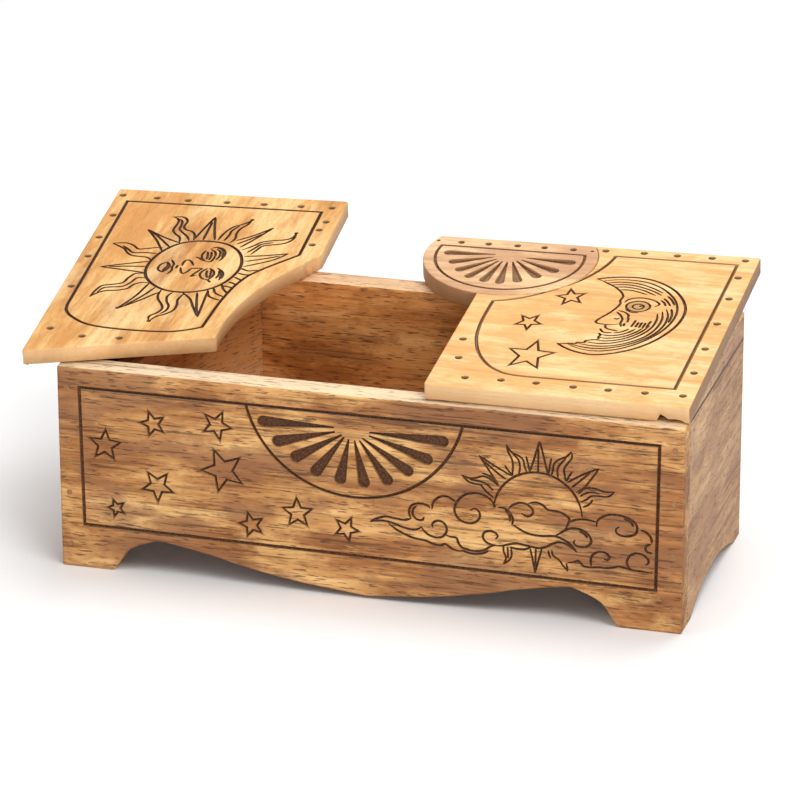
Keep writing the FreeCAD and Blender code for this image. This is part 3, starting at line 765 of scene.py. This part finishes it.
sunBorder = [(91.9, 102.4), (78.9, 85.9), (73.1, 74.5), (69.6, 56.8), (67.5, 30.3)]
sunFront = [
    (67.5, 30.3), (60, 26.0), (51.4, 24.0), (34.4, 24.0), (21, 26.4), (12.6, 32.2), (8.6, 37.6), (7.4, 43),
]
sunDisc = [
    (17, 106), (13.2, 99), (11.1, 90), (11.4, 80.5), (13.8, 73), (18, 67.5), (23, 63.6), (28, 61.9),
    (34, 62.0), (39.3, 64), (44, 67.8), (47.5, 74), (49.4, 82), (49.6, 90), (47.6, 98), (44, 104.6),
    (39, 109.2), (34, 111.1), (28, 111.3), (22.3, 109.8),
]
sunFlames = [
    [(17, 107.3), (15.5, 112.5), (12.5, 115.5), (10.5, 119), (10.3, 124), (10, 128), (8.4, 130.6),
     (6.2, 131.5)],
    [(20.3, 110), (19, 113), (16, 116.5), (13, 120), (12.3, 125), (11.3, 128.5), (9.7, 130)],
    [(22.2, 111.0), (21, 116), (19, 119), (15.5, 120.5), (13.9, 123.5), (13.8, 128), (12.4, 131), (10, 132.3),
     (6.2, 131.5)],
    [(22.2, 112.2), (22.8, 122), (24.1, 135)], [(30.9, 113), (27.6, 123), (24.1, 135)],
    [(24.4, 130), (25.3, 120), (26, 112)],
    [(32.3, 113), (32.7, 120), (34.4, 126.5), (37.3, 130), (39.2, 132.6), (40.4, 135.6)],
    [(38, 111.5), (39, 116), (38, 121), (38.2, 126), (39.9, 130.6), (40.4, 135.6)],
    [(35, 113), (35.4, 119), (35.2, 123.5), (37, 128.4)], [(40, 114.3), (46, 121), (51.7, 129.8)],
    [(43.6, 108.3), (47.2, 117), (51.7, 129.8)], [(41.2, 111), (45, 116.5), (49, 123)],
    [(45.2, 106), (48.8, 111), (51, 115), (55, 117.4), (60, 119.5), (62.6, 122.5), (62.6, 127.4)],
    [(50.2, 102.6), (51.5, 108), (52.6, 111.5), (56.4, 113.5), (61, 116.2), (63.2, 121), (62.6, 127.4)],
    [(48.2, 104.2), (50, 109), (51.6, 113), (56, 115.6)], [(48, 100.2), (56, 102.6), (65.4, 106.6)],
    [(50.8, 90.6), (55, 94), (61, 99.4), (65.4, 106.6)], [(50, 95.6), (57, 99.8), (62.5, 103.6)],
    [(50.4, 88.8), (54, 87.1), (57.6, 88.8)], [(50.4, 84.2), (53.6, 83.2), (56.0, 84)],
    [(50.2, 80.2), (52.6, 78.6), (54.4, 77.8)], [(49.6, 75.2), (53.2, 73.4)], [(48.4, 71.2), (52.2, 70.3)],
    [(47, 72.6), (49, 68.5), (51.8, 64.8)], [(45, 68.3), (47, 64), (51.0, 61.4)],
    [(43.2, 66), (45, 61), (48, 58.9), (50.8, 57.8)], [(34, 61.2), (38.3, 56.8), (42, 49.8), (46.8, 41)],
    [(43.4, 65.5), (45, 54), (46.8, 41)], [(39.6, 62.8), (43, 51.4), (45.6, 44)],
    [(24.2, 62.6), (24.4, 57.4), (26, 53), (29, 48.5), (30.2, 44.5), (29, 40.6), (27.2, 37.6), (28.2, 33.6)],
    [(29.6, 61), (28.6, 57), (29.8, 52.4), (32, 48.3), (32.3, 44), (30.8, 40.5)],
    [(34.6, 61), (33.8, 55), (35, 50), (35.2, 45), (33, 40.8), (30.2, 38), (28.8, 33.6)],
    [(17.2, 67), (15.5, 54), (11.7, 41.3)], [(24, 60), (18.4, 50.6), (11.7, 41.3)],
    [(21, 64), (18, 54), (14, 45)],
    [(13.2, 75.6), (8.8, 74.9), (7, 70), (6.4, 65.5), (3, 63), (-1, 61), (-2.3, 57), (-2.8, 49.8)],
    [(14.4, 71.5), (10.7, 71), (9.5, 66.5), (7.4, 62), (3, 60.4), (0, 58.8), (-1.2, 54.5)],
    [(17.4, 67.2), (14, 67.2), (11.2, 64.5), (10, 60.5), (6.5, 58), (2, 56.6), (-0.8, 54), (-2.8, 49.8)],
    [(10.8, 87.4), (1.6, 83.0), (-8.0, 78)], [(12.2, 76.3), (4, 77.1), (-8.0, 78)],
    [(10.8, 82.2), (3, 80.8), (-4.4, 78.8)],
    [(11.6, 101.2), (9, 100.7), (5.5, 99), (2, 97.9), (-1, 100.8), (-5, 102.4), (-10.4, 101)],
    [(11, 95.2), (6, 95), (1, 94), (-2, 96.8), (-5.4, 99.6)],
    [(10.8, 88.4), (8.2, 90.8), (2, 91.1), (-1.4, 93.4), (-4, 97), (-10.4, 101)],
    [(17, 107.3), (9, 111.2), (-0.2, 117.2)], [(12.4, 98), (6.6, 108), (-0.2, 117.2)],
    [(14.2, 102.5), (7.6, 110), (2.6, 115)],
]
sunFace = [
    [(18.2, 88.4), (16.4, 86), (16, 83), (16.8, 80.2), (19.2, 78.4)],
    [(18.2, 88.4), (19.4, 85), (18.9, 81.6), (19.2, 78.4)],
    [(19.2, 90.8), (21.4, 87), (21.6, 84), (22.4, 81), (21.7, 77)],
    [(18.2, 88.4), (20.4, 84.2), (19.2, 78.4)], [(23.4, 86), (23.5, 83.4)],
    [(29.9, 87.2), (28, 90.6), (26, 92), (24.9, 90), (25.3, 86)],
    [(25.3, 84.3), (26.3, 81.2), (27.8, 79), (29.3, 81.2), (30.2, 84.4), (34.6, 85.4)],
    [(30.6, 102.4), (30.2, 98.4), (31.4, 94.4), (33.6, 92.2)],
    [(32.2, 103.8), (34.6, 102), (36, 98), (35.8, 92.4), (33.6, 92.2)],
    [(31.6, 101.4), (32.8, 97.6), (33.4, 94)], [(33.2, 101.6), (34.4, 97.4), (34.6, 93.6)],
    [(32, 104.6), (34, 106.4), (37, 105.4), (39, 101.4), (39.6, 97), (39, 93.6)],
    [(34.6, 104.6), (36.8, 102.4), (37.8, 98), (37.4, 94.4)], [(28.4, 95.4), (30.4, 94.4), (32.6, 92.4)],
    [(36.6, 85.8), (35.2, 82.4), (35.4, 79), (37.4, 76), (40, 75.4)],
    [(37.4, 86.2), (40, 83.6), (41, 79.6), (40, 75.4)], [(37, 84), (37.8, 80.4), (39.2, 77)],
    [(38.6, 84.6), (39.6, 80.6), (40, 77.4)], [(40.6, 87), (43.2, 84.4), (44.8, 80.4), (44.6, 76)],
    [(42, 84.6), (43, 81.4), (42.9, 77.4)], [(40, 75.4), (41.6, 73.4)],
    [(34.6, 85.4), (33, 81), (32.2, 77.2), (34, 78.8)],
]
sunBrows = [[(34.2, 106.2), (37, 105), (38.9, 101.4), (39.5, 97)], [(42.4, 85.4), (44.4, 81.6), (44.7, 77.4)]]
flameTips = [(40.4, 135.6), (62.7, 126.8), (28.5, 33.2), (11.9, 42.2)]
sunDots = [
    (-22.1, 148.3), (-6.7, 148.5), (7.2, 148.8), (24.3, 150.3), (40.5, 151.7), (56.7, 153), (70.1, 154.3),
    (71.7, 140.2), (71.2, 131.9), (72.6, 117.1), (-19.6, 127.9), (-18.2, 105.6), (-16.5, 86.8), (-13.7, 57.7),
    (-8.8, 18.5), (6.4, 14.3), (21.8, 15.8),
]
sunBack = [(7.4, 43), (6.6, 145.7), (92, 145.6), (91.9, 102.4)]
sunLine = {  # width and depth of a line; radius, depth and burn of a dot
    "frame": (1.5, 1.0), "flame": (1.2, 0.85), "face": (1.15, 0.8), "brow": (1.9, 0.85),
    "tip": (1.0, 0.9, 1.0), "dot": (1.65,),
}


def sunCuts():
    cuts = [groove(onSunLid(sunBack), *sunLine["frame"], curved=False, thinEnds=False)]
    cuts.append(groove(onSunLid(sunBorder), *sunLine["frame"], thinEnds=False))
    cuts.append(groove(onSunLid(sunFront), *sunLine["frame"], thinEnds=False))
    cuts.append(groove(sunDisc, *sunLine["frame"], closed=True))
    cuts += [groove(line, *sunLine["flame"]) for line in sunFlames]
    cuts += [groove(line, *sunLine["face"]) for line in sunFace]
    cuts += [groove(line, *sunLine["brow"]) for line in sunBrows]
    cuts += [dot(x, y, *sunLine["tip"]) for x, y in flameTips]
    cuts += [dot(x, y, *sunLine["dot"]) for x, y in sunDots]
    return cuts


carvedSun = carvedBoard("sunLid", sunLidOutline(), sunCuts(), sunLid, onLid)
carvedSun.data.materials.append(wood["sun"])
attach(carvedSun, "left_lid")
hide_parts("left_lid")


# moon lid and the fan let into its back corner
moonLid = {
    "x": 153.3, "y": 3.0, "turn": 0.7, "width": 107.5, "length": 140.0, "skew": 4.1, "thick": 7.4,
    "ease": 0.7, "rebate": (1.5, 0.8), "cornerRound": 1.2,
}
fan = {"x": 5.3, "fromBack": 15.7, "radius": 36.6, "gap": 0.05, "thick": 7.4, "ease": 0.6}


def backEdge(x):
    return moonLid["length"] - moonLid["skew"] * (1 - x / moonLid["width"])


def onMoonLid(points):
    return turned(points, moonLid["x"], moonLid["y"], moonLid["turn"])


def fanCentre():
    return np.array([fan["x"], backEdge(fan["x"]) - fan["fromBack"]])


def fanMeetsBack(radius):
    # where the round edge of the fan crosses the lid's back edge, left and right
    centre = fanCentre()
    slope = moonLid["skew"] / moonLid["width"]
    gap = backEdge(centre[0]) - centre[1]
    a, b, c = 1 + slope ** 2, 2 * slope * gap, gap ** 2 - radius ** 2
    root = math.sqrt(b * b - 4 * a * c)
    return [(centre[0] + t, backEdge(centre[0] + t)) for t in ((-b - root) / (2 * a), (-b + root) / (2 * a))]


def roundFrom(start, end, radius, pieces):
    # along the fan's round edge in front of the back edge, counter-clockwise
    centre = fanCentre()
    a, b = (math.atan2(p[1] - centre[1], p[0] - centre[0]) for p in (start, end))
    b += 2 * math.pi if b < a else 0
    turns = np.linspace(a, b, pieces)
    return roundAt(centre, turns, radius)


moonChip = [(93.8, 0.0), (95.2, 2.6), (97.0, 1.9), (98.8, 0.9), (101.5, 1.2), (104.5, 0.7), (105.8, 0.0)]
moonSplit = {"back": 3, "below": -4, "push": 0.35}


def moonLidOutline():
    radius = fan["radius"] + fan["gap"]
    centre = fanCentre()
    right = fanMeetsBack(radius)[1]
    left = (0.0, centre[1] - math.sqrt(radius ** 2 - centre[0] ** 2))
    hollow = roundFrom(left, right, radius, 40)[::-1]
    width, length = moonLid["width"], moonLid["length"]
    corners = rounded([(0, 0), (width, 0), (width, length), right, left], moonLid["cornerRound"])
    edge = [(x, 0.0) for x, _ in moonChip]
    return onMoonLid(np.concatenate([corners[0:4], edge, corners[4:12], hollow]))


def onChippedLid(x, y, out):
    # the lower front edge is split away near the right end
    along, back = turned([(x - moonLid["x"], y - moonLid["y"])], 0, 0, -moonLid["turn"])[0]
    if back < moonSplit["back"] and out < moonSplit["below"]:
        lift = np.interp(along, *zip(*moonChip))
        return onLid(x, y + moonSplit["push"] * lift, out + lift)
    return onLid(x, y, out)


def fanOutline():
    left, right = fanMeetsBack(fan["radius"])
    return onMoonLid(roundFrom(left, right, fan["radius"], 64))


moonBorder = [(200, 133), (251.0, 135.4), (251.3, 19.4), (190, 17.6)]
moonBorderFront = [
    (190, 17.6), (182, 18.8), (174, 24.4), (167.6, 34), (163.6, 45), (161.8, 55), (161, 66), (160.9, 81.2),
]
moonBorderFan = [
    (160.9, 81.2), (165.5, 83), (170.3, 85.6), (176, 90), (181, 94.8), (186, 100.4), (190.5, 106.3),
    (194.6, 113.8), (197.6, 121.4), (199.2, 127.6), (200, 133),
]
moonOuter = [
    (197.8, 110.2), (203, 112.8), (210, 114.5), (216, 114.7), (222, 113), (228, 109.2), (233, 104), (237, 97),
    (239.4, 90), (240, 83), (239.3, 75), (237, 67), (233.5, 59), (228, 51.3), (222, 46.2), (216, 43),
    (211, 42), (205, 43.2), (200, 45.8), (196.4, 48.8),
]
moonLines = [
    [(200.8, 108.9), (206, 111.2), (212, 112), (219, 111), (225, 107.6), (230, 102.5), (234, 96), (236.4, 88),
     (236.8, 80), (235.6, 72), (233, 64.5), (229, 57.4), (223.5, 51), (217, 46.7), (211, 45.3), (205, 46.5),
     (200.6, 49.2)],
    [(202.8, 107.3), (207, 109), (212, 109.6), (217, 108.7), (222.4, 106.1), (227, 102.8)],
    [(204.6, 105.9), (208.6, 107.1), (213, 107.3), (218, 106.0), (222.5, 103.8), (227, 100.6)],
    [(206.8, 104.3), (210.4, 105), (215, 104.7), (219, 103.4), (224.6, 99.9)],
    [(209.2, 102.2), (213, 102.7), (217, 101.7), (221, 100)], [(229.6, 100.4), (232, 97.2), (234.2, 92.6)],
    [(228.6, 98), (230.6, 95.4), (232.7, 91.6)], [(227.8, 96), (229.6, 94), (230.8, 91.2)],
    [(233.8, 89), (235.3, 83), (235.4, 76.6)],
    [(231.9, 88.2), (233.9, 82), (234.2, 74), (232.2, 65.4), (228, 58.2), (222.4, 52.4), (216.8, 49),
     (211, 47.4), (205, 48.2), (200.6, 49.8)],
    [(230.7, 86), (232.2, 79), (231.9, 71), (229.6, 63.2), (225.6, 57.4), (220.6, 52.9), (216, 50.6),
     (211.4, 49.7), (207, 50), (203.6, 51)],
    [(229.2, 83.6), (230.2, 78), (229.8, 70.6), (227.4, 64), (223.4, 58.2), (218.6, 54.4), (214.2, 52.6),
     (210, 52.2), (206.6, 53)],
    [(228.7, 72), (226.4, 65.6), (222.4, 59.8), (217.8, 56.2), (213.6, 54.9), (210.2, 55.2)],
    [(226.4, 69.4), (224.4, 65), (221, 60.8), (217, 58.4), (213.4, 57.4), (211, 57.9)],
    [(223.8, 68.2), (221.2, 63.8), (217.8, 61), (214.6, 60), (211.6, 60.4)],
    [(221.2, 67.6), (218.8, 64.4), (216, 62.8)], [(221.6, 70), (222.1, 75.6)], [(223.3, 70), (223.6, 74)],
    [(224.8, 69.8), (225, 74.2)], [(226.3, 70), (226.5, 74.2)], [(227.7, 70.4), (228.2, 76.2)],
    [(197.8, 110.2), (200.6, 108.6), (203.6, 106.4), (206.2, 104.6), (208.6, 102.1), (210.6, 99.4),
     (211.9, 96), (211.6, 92.5), (212.3, 89.6), (211.8, 86), (210.3, 81), (208.5, 77), (207, 73.6),
     (206.5, 71.2), (207.8, 69.9), (211, 69.7), (214.5, 70.2), (216, 71.3)],
    [(212.6, 82), (215, 79), (216.5, 75.6), (216.6, 72), (217.6, 68.8)],
    [(213, 83.3), (216, 82.1), (218, 80), (218.4, 77)], [(213, 76), (214.3, 75.4), (215, 76.6)],
    [(218.8, 77), (219.1, 73.6)], [(218.2, 72), (218.4, 70)],
    [(211.1, 69.5), (211.4, 67.3), (213, 65.8), (217.2, 64.8)],
    [(209.7, 65.6), (211, 63.3), (212.4, 62.5), (215.2, 62.8)],
    [(210.1, 61.6), (211.2, 60), (210.9, 57.8), (211.6, 56)],
    [(211.6, 56), (209, 54.9), (206.6, 53.6), (206.6, 52), (203.8, 51.5), (203.4, 50.2), (200.6, 49.8),
     (196.4, 48.8)],
    [(213.8, 91), (214.6, 93.8), (217, 95.8), (220.5, 96.6), (224.5, 95.6), (227.3, 93.5), (228, 91.7),
     (226.6, 89.6)],
    [(215.5, 86.5), (216.6, 84), (219, 82.7), (221.6, 83)],
]
moonEye = {
    "centre": (220.0, 88.6), "rings": [(4.9, 4.8, 1.0), (2.3, 2.4, 0.9)], "pieces": 28, "depth": 0.8,
    "pupil": (220.9, 89.3, 0.75, 0.7, 1.0), "tint": (4.6, 0.15, 0.5),
}
moonStars = [(191.2, 91.4, 6.1, 108, 1.25), (180.0, 65.4, 5.6, 64, 1.3), (188.0, 36.4, 9.8, 90, 1.35)]
moonDots = [
    (210.8, 138.2), (224.8, 138.7), (239.4, 139.5), (253.4, 139.9), (194.6, 137.2), (253.9, 123.3),
    (254.5, 103.2), (254.8, 79.6), (255.1, 56.5), (255.5, 34.8), (255.7, 14.4), (240.6, 13.7), (225.9, 13.1),
    (211.8, 12.7), (196.7, 13), (182.5, 12.5), (168, 11.6), (158.2, 44.6), (160.9, 28.1),
]
fanCarving = {
    "centre": (156.9, 123.3), "radius": 31.2, "ends": (128.5, 131.2), "pieces": 56, "tip": 0.35,
    "petals": [
        ((150.2, 124.2), (131.2, 121.9), 2.2), ((150.2, 121.4), (135.2, 113.9), 2.1),
        ((152.0, 119.9), (139.8, 107.1), 2.0), ((153.2, 118.2), (145.1, 101.8), 1.8),
        ((154.9, 118.0), (152.1, 99.5), 1.9), ((157.2, 117.8), (158.8, 99.0), 1.8),
        ((159.4, 118.5), (165.7, 102.0), 1.9), ((160.8, 119.8), (172.4, 107.5), 2.0),
        ((162.6, 121.2), (178.1, 114.0), 2.1), ((164.2, 123.6), (182.8, 123.1), 2.2),
    ],
    "dots": [(133.4, 132.7), (145, 133.4), (157.3, 134.2), (168.8, 134.8), (181.1, 135.4)],
    "endDots": [(123.5, 132.5, 0.9), (189.2, 135.6, 0.8)],
}
moonLine = {
    "frame": (1.5, 1.0), "frameBurn": 0.5, "outer": (1.3, 0.95), "inner": (1.1, 0.8), "star": 1.15,
    "dot": 1.6,
}
fanLine = {"frame": (1.35, 1.0), "petalShare": 1.12, "petalBurn": 0.8, "dot": 1.5, "dotBurn": 1.0}


def moonCuts():
    frameBurn = moonLine["frameBurn"]
    cuts = [groove(moonBorder, *moonLine["frame"], curved=False, thinEnds=False, burn=frameBurn)]
    for line in (moonBorderFront, moonBorderFan):
        cuts.append(groove(line, *moonLine["frame"], thinEnds=False, burn=frameBurn))
    cuts.append(groove(moonOuter, *moonLine["outer"], thinEnds=False))
    cuts += [groove(line, *moonLine["inner"]) for line in moonLines]
    turns = np.linspace(0, 2 * math.pi, moonEye["pieces"], endpoint=False)
    for across, tall, width in moonEye["rings"]:
        ring = roundAt(moonEye["centre"], turns, across, tall)
        cuts.append(groove(ring, width, moonEye["depth"], curved=False, closed=True))
    cuts.append(dot(*moonEye["pupil"]))
    cuts.append(dot(*moonEye["centre"], *moonEye["tint"]))
    cuts += [star(x, y, size, turn, moonLine["star"], stretch) for x, y, size, turn, stretch in moonStars]
    cuts += [dot(x, y, moonLine["dot"]) for x, y in moonDots]
    return cuts


def fanCuts():
    y, radius = fanCarving["centre"][1], fanCarving["radius"]
    left, right = (math.asin((level - y) / radius) for level in fanCarving["ends"])
    turns = np.linspace(math.pi - left, 2 * math.pi + right, fanCarving["pieces"])
    arc = roundAt(fanCarving["centre"], turns, radius)
    cuts = [groove(arc, *fanLine["frame"], curved=False, closed=True)]
    for a, b, size in fanCarving["petals"]:
        cuts.append(petal(a, b, fanCarving["tip"], size * fanLine["petalShare"], burn=fanLine["petalBurn"]))
    cuts += [dot(x, y, fanLine["dot"], burn=fanLine["dotBurn"]) for x, y in fanCarving["dots"]]
    cuts += [dot(*spot, burn=fanLine["dotBurn"]) for spot in fanCarving["endDots"]]
    return cuts


carvedMoon = carvedBoard("moonLid", moonLidOutline(), moonCuts(), moonLid, onChippedLid)
carvedMoon.data.materials.append(wood["moon"])
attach(carvedMoon, "right_lid")
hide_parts("right_lid")
carvedFan = carvedBoard("fanMedallion", fanOutline(), fanCuts(), fan, onLid)
carvedFan.data.materials.append(wood["fan"])
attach(carvedFan, "right_lid")
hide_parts("fan_medallion")

# plain boards, nails and dowels keep their solids
boards = {
    "back_panel": "inner", "left_side_board": "side", "right_side_board": "side", "left_side_strip": "side",
    "right_side_strip": "side", "divider": "divider", "bottom_board": "inner", "front_ledger": "inner",
    "back_ledger": "inner", "left_ledger": "inner", "right_ledger": "inner", "strip_dowels": "fan",
    "fan_dowels": "fan",
}
boardEase = {"width": 0.0007, "segments": 3, "angle": 40, "weld": 0.00001}
for name, finish in boards.items():
    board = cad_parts[name]
    board.data.materials.clear()
    board.data.materials.append(wood[finish])
    if "dowel" not in name:
        weld = board.modifiers.new("weld", "WELD")
        weld.merge_threshold = boardEase["weld"]
        bevel = board.modifiers.new("ease", "BEVEL")
        bevel.width = boardEase["width"]
        bevel.segments = boardEase["segments"]
        bevel.limit_method = "ANGLE"
        bevel.angle_limit = math.radians(boardEase["angle"])
for name in ("front_brads", "back_brads", "floor_brads", "ledger_brads"):
    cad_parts[name].data.materials.clear()
    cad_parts[name].data.materials.append(nail)
print("boards finished")

# floor, light and camera
floorLook = {"size": 6.0, "colour": (0.98, 0.98, 0.98, 1.0), "bounce": (0.5, 0.5, 0.5, 1.0)}


def seenStraight(start):
    # 1 for what the camera sees, straight, in a shine or through a clear thing
    kinds = ("Camera", "Glossy", "Transmission")
    rays = [start.node("ShaderNodeLightPath", output=f"Is {kind} Ray") for kind in kinds]
    return start.maths("MAXIMUM", rays[0], start.maths("MAXIMUM", rays[1], rays[2]))


def makeFloor():
    mesh = bmesh.new()
    bmesh.ops.create_grid(mesh, x_segments=1, y_segments=1, size=floorLook["size"] / 2)
    floor = objectFrom("floor", mesh)
    made = bpy.data.materials.new("paleFloor")
    start = blankTree(made)
    shade = blend(start, seenStraight(start), floorLook["bounce"], floorLook["colour"])
    plain = start.node(
        "ShaderNodeBsdfPrincipled", {}, {"Base Color": shade, "Roughness": 1.0, "Specular IOR Level": 0.0}
    )
    start.node("ShaderNodeOutputMaterial", {}, {"Surface": plain})
    floor.data.materials.append(made)


worldLook = {"room": 0.2, "backdrop": 1.0, "colour": (1.0, 1.0, 1.0, 1.0)}


def makeWorld():
    world = bpy.data.worlds.new("studio")
    bpy.context.scene.world = world
    start = blankTree(world)
    white = worldLook["colour"]
    room = start.node("ShaderNodeBackground", {}, {"Strength": worldLook["room"], "Color": white})
    backdrop = start.node("ShaderNodeBackground", {}, {"Strength": worldLook["backdrop"], "Color": white})
    light = start.node("ShaderNodeMixShader", {}, {0: seenStraight(start), 1: room, 2: backdrop})
    start.node("ShaderNodeOutputWorld", {}, {"Surface": light})


lamps = {
    "key": {"at": (1.0, -0.8, 1.85), "size": 1.1, "tall": 1.1, "power": 20.5},
    "fill": {"at": (-1.3, -1.0, 1.5), "size": 1.3, "tall": 1.3, "power": 9.0},
    "front": {"at": (0.75, -1.95, 0.14), "size": 1.6, "tall": 0.24, "power": 23.0},
    "top": {"at": (0.1, 0.6, 1.85), "size": 1.3, "tall": 1.3, "power": 25.5},
}
lampAim = (0.02, -0.02, 0.05)


def makeLamps():
    aim = Vector(lampAim)
    for name, lamp in lamps.items():
        data = bpy.data.lights.new(name, "AREA")
        data.shape = "RECTANGLE"
        data.size = lamp["size"]
        data.size_y = lamp["tall"]
        data.energy = lamp["power"]
        made = bpy.data.objects.new(name, data)
        made.location = lamp["at"]
        made.rotation_euler = (aim - Vector(lamp["at"])).to_track_quat("-Z", "Y").to_euler()
        bpy.context.scene.collection.objects.link(made)


view = {
    "yaw": 16.159, "height": 21.258, "roll": -0.179, "focal": 4714.6, "frame": 800, "sensor": 36.0,
    "reach": 20.0, "at": (628.0, -1669.3, 763.7),
}


def makeCamera():
    yaw, height, roll = (math.radians(view[k]) for k in ("yaw", "height", "roll"))
    back = Vector((math.sin(yaw) * math.cos(height), -math.cos(yaw) * math.cos(height), math.sin(height)))
    right = (-back).cross(Vector((0, 0, 1))).normalized()
    up = right.cross(-back)
    level = math.cos(roll) * right + math.sin(roll) * up
    upright = math.cos(roll) * up - math.sin(roll) * right
    data = bpy.data.cameras.new("camera")
    data.sensor_width = view["sensor"]
    data.lens = view["focal"] / view["frame"] * data.sensor_width
    data.clip_end = view["reach"]
    camera = bpy.data.objects.new("camera", data)
    bpy.context.scene.collection.objects.link(camera)
    turn = Matrix((level, upright, back)).transposed().to_4x4()
    camera.matrix_world = Matrix.Translation(corner + Vector(view["at"]) * mm) @ turn
    bpy.context.scene.camera = camera


makeFloor()
makeWorld()
makeLamps()
makeCamera()
bpy.context.scene.view_settings.view_transform = "Standard"
print("stage set")
